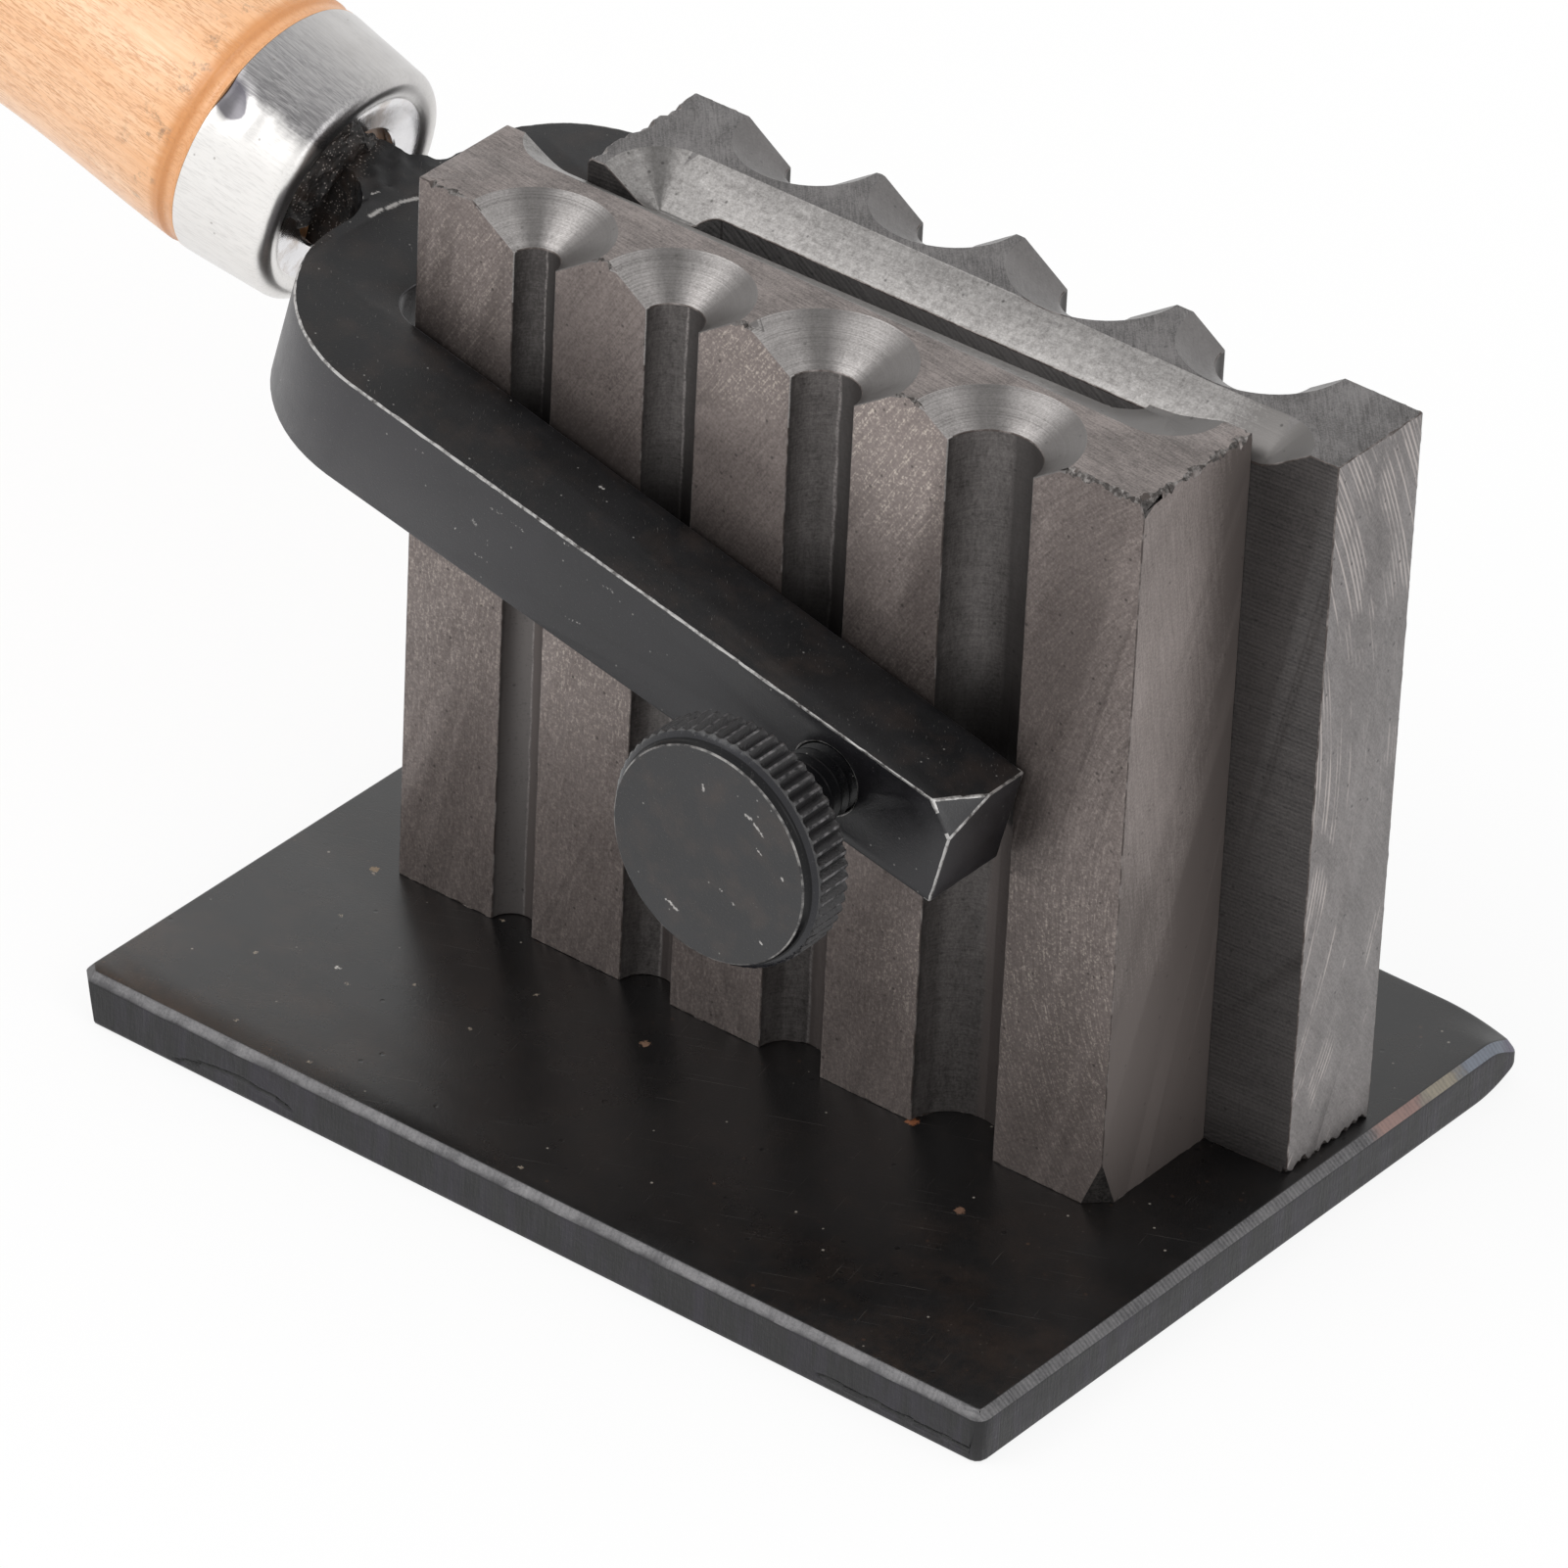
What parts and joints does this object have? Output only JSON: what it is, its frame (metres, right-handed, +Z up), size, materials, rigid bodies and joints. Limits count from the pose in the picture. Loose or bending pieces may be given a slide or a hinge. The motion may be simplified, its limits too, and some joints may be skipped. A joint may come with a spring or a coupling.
{
  "type": "ingot mould",
  "caption": "Reversible steel ingot mould: two wedge halves with wire grooves and a sheet cavity, squeezed by a screw clamp with a wooden handle, on a loose base plate.",
  "frame": {"origin": "middle of the base plate's underside", "axes": "+X along the mould halves, away from the handle; +Y from the thumb screw to the back; +Z up"},
  "size_m": [0.2073, 0.0692, 0.0915],
  "materials": {
    "black_plate": "black mill scale with bright filed edges",
    "machined_steel": "warm grey machined and ground mild steel",
    "black_oxide": "black oxide with bright worn edges",
    "bright_steel": "satin turned steel",
    "lacquered_wood": "lacquered light hardwood with fine long grain"
  },
  "bodies": {
    "plate": {"base_plate": "black_plate"},
    "mould": {"front_half": "machined_steel"},
    "rear_mould": {"rear_half": "machined_steel"},
    "clamp": {"clamp_yoke": "black_oxide", "ferrule": "bright_steel", "handle": "lacquered_wood"},
    "stud": {"screw_stud": "black_oxide"},
    "knob": {"screw_knob": "black_oxide"}
  },
  "joints": [
    {"name": "mould_lift", "type": "slide", "parent": "plate", "child": "mould", "axis": [0, 0, 1], "range_m": [0, 0.06]},
    {"name": "mould_slide", "type": "slide", "parent": "mould", "child": "rear_mould", "axis": [0.9993, 0.0385, 0], "range_m": [-0.00775, 0]},
    {"name": "clamp_swing", "type": "hinge", "parent": "mould", "child": "clamp", "pos_m": [0.01386, -0.0125, 0.03948], "axis": [0, 1, 0], "range_deg": [-18, 1]},
    {"name": "screw_feed", "type": "slide", "parent": "clamp", "child": "stud", "axis": [0, -1, 0], "range_m": [0, 0.008]},
    {"name": "knob_turn", "type": "hinge", "parent": "stud", "child": "knob", "pos_m": [0.01386, -0.03, 0.03948], "axis": [0, -1, 0], "range_deg": [0, 2870]}
  ],
  "couplings": [
    {"joint": "screw_feed", "follows": "knob_turn", "m_per_rad": 0.00015915}
  ]
}
